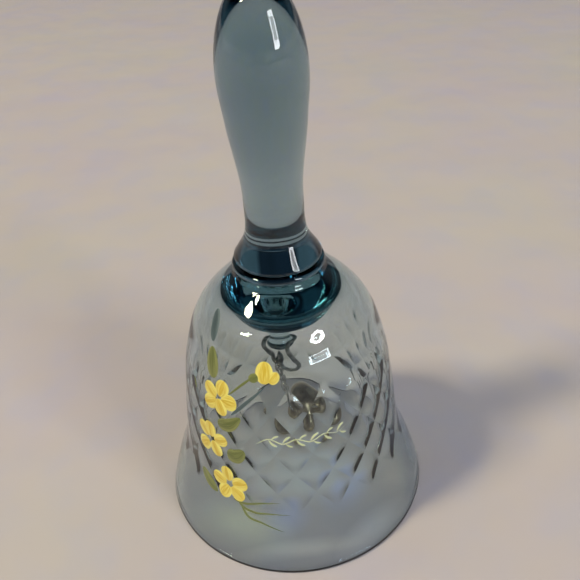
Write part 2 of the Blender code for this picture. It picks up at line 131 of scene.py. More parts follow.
def finished(name, bm, material, body, nodes=(), sharp=SHARP_BEND):
    """Store a bmesh as a piece that rides on a body and hides the imported nodes that it stands for."""
    for face in bm.faces:
        face.smooth = True
    for edge in bm.edges:
        if edge.calc_face_angle(0) > math.radians(sharp):
            edge.smooth = False
    mesh = bpy.data.meshes.new(name)
    bm.to_mesh(mesh)
    bm.free()
    mesh.materials.append(material)
    piece = bpy.data.objects.new(name, mesh)
    bpy.context.scene.collection.objects.link(piece)
    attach(piece, body)
    if nodes:
        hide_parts(*nodes)
    print(f"{name}: {len(mesh.polygons)} faces on {body}")
    return piece


print("edges stay sharp over", SHARP_BEND, "degrees")

# %% [markdown]
# ## Materials
#
# The glass is coloured through its whole depth, so thin walls look pale and the solid crown looks deep
# blue. A tint on the surface could not do that. A volume absorption does it: light loses a share of red,
# green and blue for each millimetre that it travels inside. The surface itself stays clear and smooth.

# %% Blue glass
GLASS_INDEX = 1.52
HANDLE_COLOUR = (0.38, 0.565, 0.635)
HANDLE_DENSITY = 110
BOWL_COLOUR = (0.34, 0.59, 0.65)
BOWL_DENSITY = 128


def new_material(name):
    """A material with nodes; returns it with its node tree and its Principled shader."""
    material = bpy.data.materials.new(name)
    material.use_nodes = True
    tree = material.node_tree
    return material, tree, tree.nodes["Principled BSDF"]


def blue_glass(name, colour, density):
    """Clear glass that takes a share of each colour for each millimetre of its depth."""
    material, tree, shader = new_material(name)
    shader.inputs["Base Color"].default_value = (1, 1, 1, 1)
    shader.inputs["Roughness"].default_value = 0.0
    shader.inputs["IOR"].default_value = GLASS_INDEX
    shader.inputs["Transmission Weight"].default_value = 1
    tint = tree.nodes.new("ShaderNodeVolumeAbsorption")
    tint.inputs["Color"].default_value = (*colour, 1)
    tint.inputs["Density"].default_value = density
    tree.links.new(tint.outputs["Volume"], tree.nodes["Material Output"].inputs["Volume"])
    kept = [round(math.exp(-density * (1 - share) * 10 * MM), 2) for share in colour]
    print(f"{name} keeps of red, green and blue after 10 mm:", kept)
    return material


handle_glass = blue_glass("handle_glass", HANDLE_COLOUR, HANDLE_DENSITY)
bowl_glass = blue_glass("bowl_glass", BOWL_COLOUR, BOWL_DENSITY)

# %% [markdown]
# The other finishes are built from a handful of nodes: a noise that makes patches, a ramp that gives them
# colours, a little arithmetic and a bump. A short helper for each keeps the materials readable. The noise
# reads Object coordinates, so a pattern stays on its piece when the piece moves.

# %% Helpers for values
def calculated(tree, operation, *values):
    """The result of a Math node; each value is a number or another node's output."""
    node = tree.nodes.new("ShaderNodeMath")
    node.operation = operation
    for socket, value in zip(node.inputs, values):
        if isinstance(value, bpy.types.NodeSocket):
            tree.links.new(value, socket)
        else:
            socket.default_value = value
    return node.outputs["Value"]


def between(tree, value, low, high):
    """Turn a value between 0 and 1 into one between low and high."""
    node = tree.nodes.new("ShaderNodeMapRange")
    node.inputs["To Min"].default_value = low
    node.inputs["To Max"].default_value = high
    tree.links.new(value, node.inputs["Value"])
    return node.outputs["Result"]


def speckle(tree, scale, detail=3.0):
    """A noise texture on Object coordinates; scale is how many patches fit in a metre."""
    coordinates = tree.nodes.new("ShaderNodeTexCoord")
    texture = tree.nodes.new("ShaderNodeTexNoise")
    texture.inputs["Scale"].default_value = scale
    texture.inputs["Detail"].default_value = detail
    tree.links.new(coordinates.outputs["Object"], texture.inputs["Vector"])
    return texture.outputs["Fac"]


print("helpers for values:", calculated.__name__, between.__name__, speckle.__name__)

# %% Helpers for colours and bumps
def ramp(tree, value, stops):
    """A colour ramp over a value between 0 and 1; the stops are (place, colour)."""
    node = tree.nodes.new("ShaderNodeValToRGB")
    band = node.color_ramp
    while len(band.elements) < len(stops):
        band.elements.new(0.5)
    for element, (place, colour) in zip(band.elements, stops):
        element.position = place
        element.color = (*colour, 1)
    tree.links.new(value, node.inputs["Fac"])
    return node.outputs["Color"]


def mixed(tree, mode, first, second, share=1.0):
    """Two colours multiplied or added; share says how far the second one counts."""
    node = tree.nodes.new("ShaderNodeMixRGB")
    node.blend_type = mode
    node.inputs["Fac"].default_value = share
    tree.links.new(first, node.inputs["Color1"])
    tree.links.new(second, node.inputs["Color2"])
    return node.outputs["Color"]


def bumped(tree, shader, height, strength, distance):
    """Give the shader a bump from a height value."""
    node = tree.nodes.new("ShaderNodeBump")
    node.inputs["Strength"].default_value = strength
    node.inputs["Distance"].default_value = distance
    tree.links.new(height, node.inputs["Height"])
    tree.links.new(node.outputs["Normal"], shader.inputs["Normal"])


print("helpers for colours:", ramp.__name__, mixed.__name__, bumped.__name__)

# %% [markdown]
# ### Metals
#
# The hanger is dull grey wire, the chain is brighter, and the ball is an old brownish metal. No metal that
# is handled stays even, so the patches of one noise make it darker and rougher or lighter and smoother, and
# a noise three times as fine gives it a faint bump.

# %% Metals
GRAIN = 3


def metal(name, dark, light, smooth, rough, scale):
    """A handled metal: its colour and its polish change a little from patch to patch."""
    material, tree, shader = new_material(name)
    shader.inputs["Metallic"].default_value = 1
    patches = speckle(tree, scale)
    tree.links.new(ramp(tree, patches, [(0.35, dark), (0.65, light)]), shader.inputs["Base Color"])
    tree.links.new(between(tree, patches, rough, smooth), shader.inputs["Roughness"])
    bumped(tree, shader, speckle(tree, scale * GRAIN, 5), 0.2, 0.02 * MM)
    return material


hanger_steel = metal("hanger_steel", (0.16, 0.16, 0.15), (0.34, 0.34, 0.32), 0.25, 0.45, 700)
chain_metal = metal("chain_metal", (0.3, 0.28, 0.24), (0.62, 0.6, 0.55), 0.15, 0.35, 900)
clapper_metal = metal("clapper_metal", (0.15, 0.12, 0.075), (0.38, 0.32, 0.2), 0.2, 0.42, 260)
print("metals:", hanger_steel.name, chain_metal.name, clapper_metal.name)

# %% [markdown]
# ### Enamel
#
# Enamel is put on with a loaded brush: it is thin in the middle of a stroke, and the bristles leave streaks
# along it. Each stroke carries its own coordinates, from 0 to 1 along and from -1 to 1 across, in a mesh
# attribute. The streaks follow the stroke whichever way it was painted.

# %% Enamel
STROKE = "stroke"
STREAK_STRETCH = (0.8, 3.2, 1)
STREAK_SCALE = 1.6
STREAK_RANGE = (-0.75, 1.15)
EDGE_SHARE = 0.55


def enamel(name, middle, edge, roughness):
    """Brushed enamel: one colour in the middle of a stroke, a paler one at its edges, streaks along it."""
    material, tree, shader = new_material(name)
    place = tree.nodes.new("ShaderNodeAttribute")
    place.attribute_name = STROKE
    split = tree.nodes.new("ShaderNodeSeparateXYZ")
    mapping = tree.nodes.new("ShaderNodeMapping")
    mapping.inputs["Scale"].default_value = STREAK_STRETCH
    texture = tree.nodes.new("ShaderNodeTexNoise")
    texture.inputs["Scale"].default_value = STREAK_SCALE
    texture.inputs["Detail"].default_value = 3
    tree.links.new(place.outputs["Vector"], split.inputs["Vector"])
    tree.links.new(place.outputs["Vector"], mapping.inputs["Vector"])
    tree.links.new(mapping.outputs["Vector"], texture.inputs["Vector"])
    streaks = texture.outputs["Fac"]
    aside = calculated(tree, "ABSOLUTE", split.outputs["Y"])
    paleness = calculated(tree, "MULTIPLY_ADD", aside, EDGE_SHARE, between(tree, streaks, *STREAK_RANGE))
    tree.links.new(ramp(tree, paleness, [(0.15, middle), (0.75, edge)]), shader.inputs["Base Color"])
    shader.inputs["Roughness"].default_value = roughness
    shader.inputs["Coat Weight"].default_value = 0.3
    bumped(tree, shader, streaks, 0.5, 0.1 * MM)
    return material


yellow = enamel("enamel_yellow", (0.6, 0.4, 0.02), (0.8, 0.69, 0.15), 0.35)
green = enamel("enamel_green", (0.1, 0.12, 0.018), (0.21, 0.22, 0.06), 0.4)
pale = enamel("enamel_pale", (0.62, 0.62, 0.28), (0.5, 0.53, 0.3), 0.4)
shade = enamel("enamel_shade", (0.045, 0.07, 0.07), (0.1, 0.135, 0.13), 0.5)
print("enamels:", yellow.name, green.name, pale.name, shade.name)

# %% [markdown]
# ## The glass
#
# On the real bell the bowl, the collar, the handle and the button are fused while they are hot. One closed
# skin round all of them would lose the dark line under the collar, and four closed meshes would show a
# mirror at every gap. So two closed pieces are made, with a hair of air between them: the bowl with its
# button, and the handle with its collar. That one gap mirrors the dark room, which gives the line and the
# dark foot.

# %% The handle and the collar
HANDLE_TOP = 165 * MM
BULB_CENTRE = Vector((0, 142)) * MM
BULB_RADII = (11.6 * MM, 23 * MM)
FOOT_CENTRE = Vector((11.5, 91.1)) * MM
FOOT_RADII = (1.1 * MM, 1.1 * MM)
BEAD_CENTRE = Vector((12.2, 88.5)) * MM
BEAD_RADII = (1.2 * MM, 1.2 * MM)
UNDERSIDE = 87.3 * MM

tip = outline_arc(BULB_CENTRE, BULB_RADII, 90, 0, 22)
stem = smooth_line(mm((11.6, 142), (10.7, 131), (8.3, 108), (9.2, 97), (12.6, 91.1)), 14, before=tip[-2])
foot = outline_arc(FOOT_CENTRE, FOOT_RADII, 0, -90, 6)[1:]
bead = outline_arc(BEAD_CENTRE, BEAD_RADII, 90, -90, 12)
handle_section = [Vector((0, HANDLE_TOP)), *tip[1:-1], *stem, *foot, *bead[1:], Vector((0, UNDERSIDE))]
print("handle section:", len(handle_section), "points")

# %% [markdown]
# The bowl's section goes down its outside, round the rim, up the inner wall and along the underside of the
# solid crown to the button. Only the outside is measured. The inner wall lies one thickness in from it,
# square to the glass, which is what a blower keeps even.

# %% The bowl's outside and its rim
OUTSIDE = ((13.1, 86), (20.3, 80), (25.3, 74), (30.8, 59), (33.6, 41), (35.9, 24), (40.4, 11), (43.5, 0.8))
WALL = 2.4 * MM
RIM_RADIUS = 43.5 * MM
RIM_FLAT = 0.4 * MM
RIM_RADII = (0.8 * MM, 0.8 * MM)

outer_wall = smooth_line(mm(*OUTSIDE), 8)
rim_middle = RIM_RADIUS - WALL / 2
rim_outside = outline_arc(Vector((rim_middle + RIM_FLAT, RIM_RADII[1])), RIM_RADII, 0, -90, 5)[1:]
rim_inside = outline_arc(Vector((rim_middle - RIM_FLAT, RIM_RADII[1])), RIM_RADII, 270, 180, 5)
print("outside:", len(outer_wall), "points; rim:", len(rim_outside) + len(rim_inside), "points")

# %% Radii of the wall
SLOPE_STEP = 0.6 * MM


def outer_radius(height):
    """The outer wall's radius at a height."""
    for high, low in zip(outer_wall, outer_wall[1:]):
        if low.y <= height <= high.y:
            return low.x + (high.x - low.x) * (height - low.y) / (high.y - low.y)
    return outer_wall[-1].x if height < outer_wall[-1].y else outer_wall[0].x


def wall_slope(height):
    """How fast the outer radius grows with height."""
    return (outer_radius(height + SLOPE_STEP) - outer_radius(height - SLOPE_STEP)) / (2 * SLOPE_STEP)


def inner_radius(height):
    """The inner wall lies one thickness in from the outer wall, square to it."""
    return outer_radius(height) - WALL * math.hypot(1, wall_slope(height))


print("bowl radius at 20, 40 and 60 mm:", [round(outer_radius(h * MM) / MM, 2) for h in (20, 40, 60)])

# %% The inner wall
DIAMOND_BOTTOM = 18.5 * MM
DIAMOND_SIZE = 15 * MM
DIAMOND_ROWS = 3
ROWS_EACH = 12
LOW_WALL = (2.5, 4.5, 7, 9.5, 12, 14.5, 17)

low_wall = [Vector((inner_radius(h * MM), h * MM)) for h in LOW_WALL]
row_height = DIAMOND_SIZE / ROWS_EACH
pattern_heights = [DIAMOND_BOTTOM + i * row_height for i in range(DIAMOND_ROWS * ROWS_EACH + 1)]
pattern_wall = [Vector((inner_radius(height), height)) for height in pattern_heights]
print("inner wall:", len(low_wall + pattern_wall), "points up to", round(pattern_wall[-1].y / MM, 1), "mm")

# %% [markdown]
# The crown is solid glass. Its underside bulges down to the button and makes the deep blue lens that is seen
# under the handle. A small fillet joins it to the wall, because hot glass leaves no sharp corner.

# %% The crown's underside
CAVITY_TOP = 77.5 * MM
DOME = ((15, 77.8), (13, 76.6), (11.6, 74.5), (10.6, 72.2), (9.2, 70.6), (6.8, 69.6))
FILLET = 1.4 * MM

below_top = CAVITY_TOP - 2 * MM
peak = Vector((inner_radius(CAVITY_TOP) - FILLET, CAVITY_TOP))
ceiling = smooth_line([peak, *mm(*DOME)], 7, before=Vector((inner_radius(below_top), below_top)))[1:]
turn_height = (pattern_wall[-1].y + CAVITY_TOP) / 2
turn_in = Vector((inner_radius(turn_height), turn_height))
shoulder = smooth_line([pattern_wall[-1], turn_in, peak], 8, before=pattern_wall[-2], after=ceiling[0])
print("shoulder and crown:", len(shoulder) + len(ceiling), "points")

# %% The button, and the whole section
BOWL_TOP = 87 * MM
BUTTON_CENTRE = Vector((0, 58.2)) * MM
BUTTON_RADII = (4.2 * MM, 2.4 * MM)
BUTTON_TIP = 55.8 * MM

neck = mm((12.6, 87.0), (12.95, 86.8))
root = mm((5.6, 69.55), (4.8, 69.47))
button_end = outline_arc(BUTTON_CENTRE, BUTTON_RADII, 0, -90, 10)
button_side = smooth_line(mm((4.4, 69.3), (2.9, 61.8), (4.2, 58.2)), 12, after=button_end[1])
outside = [Vector((0, BOWL_TOP)), *neck, *outer_wall, *rim_outside, *rim_inside]
inside = low_wall + pattern_wall + shoulder[1:] + ceiling + root + button_side + button_end[1:-1]
bowl_section = [*outside, *inside, Vector((0, BUTTON_TIP))]
print("bowl section:", len(bowl_section), "points")

# %% [markdown]
# The diamonds come from a mould: the gather of glass is pressed into it and then blown out smooth, so only
# the inner wall keeps them. Each is a shallow hollow with soft ridges round it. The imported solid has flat
# facets there. Here every point of the fine inner wall moves out by the depth of its place in the pattern,
# which gives each diamond the lens shape that bends what is behind it.

# %% The depth of the pattern
DIAMONDS_ROUND = 18
DIAMOND_DEPTH = 0.62 * MM
DIAMOND_CURVE = 2.3


def diamond_hollow(turn, height):
    """Depth of the pattern from 0 on the ridges to 1 in the middle of a diamond."""
    across = turn * DIAMONDS_ROUND + DIAMONDS_ROUND / 4
    up = (height - DIAMOND_BOTTOM) / DIAMOND_SIZE
    rising = across + up
    falling = across - up
    if not 0 < math.floor(rising + 1e-6) - math.floor(falling + 1e-6) < 2 * DIAMOND_ROWS:
        return 0.0
    a = 2 * (rising - math.floor(rising)) - 1
    b = 2 * (falling - math.floor(falling)) - 1
    return (1 - abs(a) ** DIAMOND_CURVE) * (1 - abs(b) ** DIAMOND_CURVE)


print("diamonds:", DIAMONDS_ROUND * (2 * DIAMOND_ROWS - 1), "hollows,", DIAMOND_DEPTH / MM, "mm deep")

# %% Press the diamonds
CROWN_REACH = 15 * MM
MARGIN = 0.01 * DIAMOND_SIZE
PATTERN_FOOT = DIAMOND_BOTTOM - MARGIN
PATTERN_TOP = DIAMOND_BOTTOM + DIAMOND_ROWS * DIAMOND_SIZE + MARGIN

glass_body = turned(bowl_section, DIAMONDS_ROUND * ROWS_EACH)
glass_body.normal_update()
depths = {}
for vert in glass_body.verts:
    radius = math.hypot(vert.co.x, vert.co.y)
    facing_in = vert.normal.x * vert.co.x + vert.normal.y * vert.co.y < 0
    if facing_in and PATTERN_FOOT < vert.co.z < PATTERN_TOP and radius > CROWN_REACH:
        depths[vert] = diamond_hollow(math.atan2(vert.co.y, vert.co.x) / math.tau, vert.co.z)
        grown = 1 + DIAMOND_DEPTH * depths[vert] / radius
        vert.co.x *= grown
        vert.co.y *= grown
print("pressed wall:", len(depths), "points")

# %% [markdown]
# The ridges run cornerwise through the wall's small four-sided faces. Such a face is split along the ridge,
# or the ridge would look like a flight of steps. The edges on it are then marked sharp where they bend.

# %% Crease the ridges
ON_RIDGE = 0.01
CREASE_BEND = 6

for face in list(glass_body.faces):
    corners = list(face.verts)
    if len(corners) != 4 or not all(corner in depths for corner in corners):
        continue
    first, second, third, fourth = (depths[corner] > ON_RIDGE for corner in corners)
    if (second or fourth) and not (first or third):
        bmesh.utils.face_split(face, corners[0], corners[2])
    elif (first or third) and not (second or fourth):
        bmesh.utils.face_split(face, corners[1], corners[3])
glass_body.normal_update()
creases = 0
for edge in glass_body.edges:
    if all(depths.get(end, 1) <= ON_RIDGE for end in edge.verts):
        if edge.calc_face_angle(0) > math.radians(CREASE_BEND):
            edge.smooth = False
            creases += 1
print("ridges:", creases, "creased edges")

# %% [markdown]
# The button hangs a little off the axis, as it does where hot glass is added by hand. The spin puts it on
# the axis, so its points slide sideways afterwards, and the ones between it and the crown slide less and
# less.

# %% Set the button off the axis
BUTTON_OFFSET = -1.6 * MM
BUTTON_ZONE = (50 * MM, 71 * MM)
WHOLE_SLIDE = 6 * MM
NO_SLIDE = 11 * MM

moved = 0
for vert in glass_body.verts:
    radius = math.hypot(vert.co.x, vert.co.y)
    if BUTTON_ZONE[0] < vert.co.z < BUTTON_ZONE[1] and radius < NO_SLIDE:
        share = min(max((NO_SLIDE - radius) / (NO_SLIDE - WHOLE_SLIDE), 0), 1)
        vert.co.x += BUTTON_OFFSET * share * share * (3 - 2 * share)
        moved += 1
print("button:", moved, "points moved by up to", BUTTON_OFFSET / MM, "mm")

# %% [markdown]
# A ray from the cloth would have to find a small lamp through two bent walls by chance. So the bowl is
# marked as a caster of caustics, and further down the cloth as their receiver and one small lamp as their
# light. The light that this lamp sends through the glass is then worked out directly.

# %% Finish the two pieces of glass
GLASS_BEND = 75
HANDLE_SEGMENTS = 96

bowl = finished("glass_bowl", glass_body, bowl_glass, "root", ["bell_bowl", "hanger_button"],
                sharp=GLASS_BEND)
bowl.cycles.is_caustics_caster = True
handle = finished("glass_handle", turned(handle_section, HANDLE_SEGMENTS), handle_glass, "root",
                  ["handle", "collar"], sharp=GLASS_BEND)

# %% [markdown]
# ## Wires, links and the ball
#
# The hanger is one bent wire: an eye at its left end, an open ring that grips the button, and a hook at its
# right end. Its route is drawn as points and becomes a curve with a round bevel, turned into a mesh at the
# end. A curve keeps the wire round through every bend, which an extruded circle would not.

# %% The hanger's route
HANGER_WIRE = 1.4 * MM
EYE_HEIGHT = 50.2 * MM
EYE_CENTRE = Vector((-1.9 * MM, 0.7 * MM, EYE_HEIGHT))
EYE_RADIUS = 1.45 * MM
EYE_GAP = 0.3 * MM
HOOK_CENTRE = Vector((2.9 * MM, -1.1 * MM, EYE_HEIGHT))
HOOK_RADIUS = 3 * MM
GRIP_HEIGHT = 60.5 * MM
GRIP_RADIUS = 4.4 * MM
HANGER_DROP = 10.3 * MM
REACH = 5.5 * MM


def upright_arc(centre, radius, start, end, steps):
    """Points of a circle in the XZ plane, from one angle in degrees from +X to another."""
    flat = outline_arc(Vector((0, 0)), (radius, radius), start, end, steps)
    return [centre + Vector((dot.x, 0, dot.y)) for dot in flat]


closing = math.degrees(math.acos((HANGER_WIRE + EYE_GAP) / EYE_RADIUS - 1))
eye_turn = upright_arc(EYE_CENTRE, EYE_RADIUS, 360 + closing, 180, 28)
grip = [dot.to_3d() + Vector((0, 0, GRIP_HEIGHT))
        for dot in outline_arc(Vector((0, 0)), (GRIP_RADIUS, GRIP_RADIUS), 190, -30, 30)]
hook = upright_arc(HOOK_CENTRE, HOOK_RADIUS, 0, -195, 24)
low = Vector((0, 0, EYE_HEIGHT + 0.4 * HANGER_DROP))
high = Vector((0, 0, EYE_HEIGHT + 0.8 * HANGER_DROP))
left_leg = [low + REACH * Vector((-0.68, -0.36, 0)), high + REACH * Vector((-0.78, -0.65, 0))]
right_leg = [high + REACH * Vector((0.68, -0.76, 0)), low + REACH * Vector((0.86, -0.5, 0))]
rising = smooth_line([eye_turn[-1], *left_leg, grip[0]], 10, before=eye_turn[-2], after=grip[1])
falling = smooth_line([grip[-1], *right_leg, hook[0]], 10, before=grip[-2], after=hook[1])
route = eye_turn[:-1] + rising[:-1] + grip[:-1] + falling[:-1] + hook
print("hanger route:", len(route), "points")

# %% Bend the hanger
HANGER_TURN = math.radians(-21)
WIRE_WELD = 0.001 * MM


def tube(points, radius, resolution):
    """A bmesh of a round wire with closed ends along a row of points."""
    curve = bpy.data.curves.new("route", "CURVE")
    curve.dimensions = "3D"
    curve.bevel_depth = radius
    curve.bevel_resolution = resolution
    curve.use_fill_caps = True
    run = curve.splines.new("POLY")
    run.points.add(len(points) - 1)
    for dot, point in zip(run.points, points):
        dot.co = (*point, 1)
    holder = bpy.data.objects.new("route", curve)
    bpy.context.scene.collection.objects.link(holder)
    mesh = bpy.data.meshes.new_from_object(holder.evaluated_get(bpy.context.evaluated_depsgraph_get()))
    bm = bmesh.new()
    bm.from_mesh(mesh)
    bpy.data.objects.remove(holder)
    bpy.data.meshes.remove(mesh)
    bmesh.ops.remove_doubles(bm, verts=bm.verts, dist=WIRE_WELD)
    bmesh.ops.recalc_face_normals(bm, faces=bm.faces)
    return bm


hanger = tube(route, HANGER_WIRE / 2, 6)
bmesh.ops.rotate(hanger, verts=hanger.verts, cent=(0, 0, 0), matrix=Matrix.Rotation(HANGER_TURN, 3, "Z"))
bmesh.ops.translate(hanger, verts=hanger.verts, vec=(BUTTON_OFFSET, 0, 0))
finished("hanger", hanger, hanger_steel, "hanger", ["hanger_wire"])

# %% [markdown]
# The chain hangs from joint to joint: the eye carries a jump ring, the ring carries the first link, and the
# last link carries the ball. Each piece is modelled upright at the origin and then laid in a frame on its
# own hinge, so that the hinge's axis runs along the wire above it and its length points to the next hinge.

# %% Frames on the hinges
joints = {joint["child"]: joint for joint in frame["joints"]}
hanging = ["jump_ring", *sorted(name for name in joints if name.startswith("chain_link")), "clapper"]
ball_low, ball_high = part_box("clapper_ball")
hinges = [Vector(joints[name]["pos_m"]) for name in hanging] + [(ball_low + ball_high) / 2]


def hanging_frame(number):
    """A frame on a piece's hinge: Y along the hinge, and -Z towards the next hinge."""
    side = Vector(joints[hanging[number]]["axis"]).normalized()
    up = (hinges[number] - hinges[number + 1]).normalized()
    side = (side - up * side.dot(up)).normalized()
    matrix = Matrix((side.cross(up), side, up)).transposed().to_4x4()
    matrix.translation = hinges[number]
    return matrix


print("hinges from the eye down:", [round(hinge.z / MM, 1) for hinge in hinges])

# %% [markdown]
# A ring is a small circle spun round a centre. A link is the same ring with its lower half pulled down,
# which makes an oval with straight sides and keeps the wire's thickness.

# %% A ring of wire
CHAIN_WIRE = 0.7 * MM


def wire_ring(radius, thickness, segments, sides, centre):
    """A ring of round wire in the XZ plane, with its centre at a height."""
    bm = bmesh.new()
    start = bmesh.ops.create_circle(bm, segments=sides, radius=thickness / 2)["verts"]
    bmesh.ops.translate(bm, verts=start, vec=(radius, 0, 0))
    bmesh.ops.spin(bm, geom=start + bm.edges[:], cent=(0, 0, 0), axis=(0, 1, 0), angle=math.tau,
                   steps=segments, use_merge=True)
    bmesh.ops.remove_doubles(bm, verts=bm.verts, dist=WIRE_WELD)
    bmesh.ops.translate(bm, verts=bm.verts, vec=(0, 0, centre))
    bmesh.ops.recalc_face_normals(bm, faces=bm.faces)
    return bm


print("chain wire:", CHAIN_WIRE / MM, "mm thick")

# %% The jump ring and the links
JUMP_RADIUS = 2.1 * MM
JUMP_CENTRE = -0.75 * MM
LINK_RADIUS = 1.1 * MM
LINK_CENTRE = -0.1 * MM
LINK_STRETCH = 2 * MM

for number, name in enumerate(hanging[:-1]):
    if name == "jump_ring":
        ring = wire_ring(JUMP_RADIUS, CHAIN_WIRE, 48, 14, JUMP_CENTRE)
    else:
        ring = wire_ring(LINK_RADIUS, CHAIN_WIRE, 36, 12, LINK_CENTRE)
        lower = [vert for vert in ring.verts if vert.co.z < LINK_CENTRE - WIRE_WELD]
        bmesh.ops.translate(ring, verts=lower, vec=(0, 0, -LINK_STRETCH))
    bmesh.ops.transform(ring, matrix=hanging_frame(number), verts=ring.verts)
    finished(name + "_wire", ring, chain_metal, name, [name])

# %% [markdown]
# The ball is turned with a small hole in its top, and the eye's pin stands in that hole without touching
# its floor. The lip of the hole is a little wider than the drill, as a countersink leaves it.

# %% The ball
BALL_RADIUS = 8 * MM
BALL_CENTRE = -11.35 * MM
HOLE_RADIUS = 0.85 * MM
HOLE_FLOOR = BALL_CENTRE + 3 * MM
COUNTERSINK = 0.2 * MM
LIP_TURN = 1.5

hole_edge = math.degrees(math.acos(HOLE_RADIUS / BALL_RADIUS))
skin = outline_arc(Vector((0, BALL_CENTRE)), (BALL_RADIUS, BALL_RADIUS), hole_edge - LIP_TURN, -90, 40)
hole_lip = math.sqrt(BALL_RADIUS**2 - HOLE_RADIUS**2) + BALL_CENTRE - COUNTERSINK
drilled = [Vector((0, HOLE_FLOOR)), Vector((HOLE_RADIUS, HOLE_FLOOR)), Vector((HOLE_RADIUS, hole_lip))]
ball = turned([*drilled, *skin[:-1], Vector((0, BALL_CENTRE - BALL_RADIUS))], 64)
bmesh.ops.transform(ball, matrix=hanging_frame(len(hanging) - 1), verts=ball.verts)
finished("ball", ball, clapper_metal, "clapper", ["clapper_ball"])

# %% The ball's eye
BALL_EYE_RADIUS = 1.6 * MM
BALL_EYE_WIRE = 0.9 * MM
BALL_EYE_CENTRE = -0.5 * MM
PIN_RADIUS = 0.55 * MM
PIN_TOP = -2.1 * MM
PIN_END = HOLE_FLOOR + 0.3 * MM

eye = wire_ring(BALL_EYE_RADIUS, BALL_EYE_WIRE, 40, 14, BALL_EYE_CENTRE)
pin = bmesh.ops.create_cone(eye, cap_ends=True, segments=20, radius1=PIN_RADIUS, radius2=PIN_RADIUS,
                            depth=PIN_TOP - PIN_END)["verts"]
bmesh.ops.translate(eye, verts=pin, vec=(0, 0, (PIN_TOP + PIN_END) / 2))
bmesh.ops.transform(eye, matrix=hanging_frame(len(hanging) - 1), verts=eye.verts)
finished("ball_eye", eye, chain_metal, "clapper", ["clapper_eye"])

# %% [markdown]
# ## The painted flowers
#
# Each brush stroke is its own little mound of enamel. It starts as a sphere with its poles at the stroke's
# two ends. The sphere is flattened, given the stroke's width, and laid along a route on the glass. Places
# on the bowl are given the way a decorator would: degrees round from the front, and millimetres above the
# rim.

# %% Places on the wall
def on_wall(turn, height, lift=0.0):
    """A point on the bowl's outside: degrees from the front, mm above the rim, and a lift in metres."""
    angle = math.radians(turn)
    height = height * MM
    slope = wall_slope(height)
    radius = outer_radius(height) + lift / math.hypot(1, slope)
    up = height - lift * slope / math.hypot(1, slope)
    return Vector((radius * math.sin(angle), -radius * math.cos(angle), up))


def beside(place, right, up):
    """A place on the wall moved by millimetres to the right and upwards."""
    turn, height = place
    return (turn + math.degrees(right * MM / outer_radius(height * MM)), height + up)


print("front of the bowl at 40 mm:", [round(value / MM, 1) for value in on_wall(0, 40)])

# %% [markdown]
# A mound sinks a hair into the glass, so that no gap shows under it. Its two ends can be fuller or finer,
# as the brush is set down or lifted. The third number of its coordinates differs from stroke to stroke, so
# no two have the same streaks.

# %% One stroke
SINK = 0.05 * MM
STREAK_SEED = Vector((0.37, 0.61))


def stroke(bm, route, width, thick, start=1.0, finish=1.0, rounds=20, sides=12):
    """Lay one mound of enamel along a route of (degrees, height) places; widths in millimetres.

    start and finish say how full the stroke is at its two ends, from 0 for a point to 1 for a round end.
    """
    layer = bm.verts.layers.float_vector.get(STROKE) or bm.verts.layers.float_vector.new(STROKE)
    line = smooth_line([Vector(place) for place in route], 12)
    seed = line[0].dot(STREAK_SEED)
    dots = bmesh.ops.create_uvsphere(bm, u_segments=sides, v_segments=rounds, radius=1)["verts"]
    bmesh.ops.rotate(bm, verts=dots, cent=(0, 0, 0), matrix=Matrix.Rotation(math.pi / 2, 3, "Y"))
    for vert in dots:
        along = min(max((vert.co.x + 1) / 2, 0), 1)
        place = along * (len(line) - 1)
        index = min(int(place), len(line) - 2)
        here = line[index].lerp(line[index + 1], place - index)
        ahead = line[index + 1] - line[index]
        degree = math.radians(1) * outer_radius(here.y * MM) / MM
        heading = Vector((ahead.x * degree, ahead.y)).normalized()
        fullness = start + (finish - start) * along
        side = Vector((-heading.y, heading.x)) * vert.co.y * width / 2 * fullness
        vert[layer] = (along, vert.co.y / max(math.sqrt(1 - vert.co.x**2), 0.05), seed)
        lift = (vert.co.z + 1) * thick / 2 * MM - SINK
        vert.co = on_wall(here.x + side.x / degree, here.y + side.y, lift)


def painted(name, bm, material):
    """Finish a painted piece."""
    bmesh.ops.recalc_face_normals(bm, faces=bm.faces)
    finished(name, bm, material, "root")


print("strokes sink", SINK / MM, "mm into the glass")

# %% [markdown]
# Each flower is five petals round a bare middle. A petal is one short stroke that runs outwards, and is
# given by the place of its middle, in millimetres to the right of and above the middle of the flower.

# %% Three flowers
PETAL_LENGTH = 5.5
PETAL_WIDTH = 4.4
PETAL_THICK = 0.26
PETAL_PLACE = 0.92
FLOWERS = {
    "flower_1": ((-40.8, 57.8), [(-3.3, 1.9), (1.4, 4.1), (4.2, 0.3), (1.2, -2.6), (-3.0, -2.1)]),
    "flower_2": ((-45.4, 41.3), [(-4.0, 2.8), (-0.9, 4.1), (-3.7, -3.2), (3.6, 1.8), (1.6, -2.8)]),
    "flower_3": ((-34.9, 27.0), [(-1.0, 4.2), (-4.3, 0.7), (3.8, 1.6), (3.0, -2.5), (-1.8, -3.2)]),
}

for name, (centre, petals) in FLOWERS.items():
    bm = bmesh.new()
    for number, petal in enumerate(petals):
        middle = Vector(petal) * PETAL_PLACE
        out = middle.normalized() * PETAL_LENGTH / 2
        line = [beside(centre, point.x, point.y) for point in (middle - out, middle, middle + out)]
        width = PETAL_WIDTH * (1 + 0.06 * (number % 3))
        stroke(bm, line, width, PETAL_THICK + 0.03 * (number % 2), start=0.95, finish=1.1)
    painted(name, bm, yellow)

# %% [markdown]
# The rest of the spray is single strokes: a bud on its cup and stem, four leaves, a shaded leaf with a thin
# dark stroke beside the stem, and three grasses under the lowest flower. A leaf is full where the brush
# comes down and runs out fine, and a grass is a long stroke that grows thinner all the way.

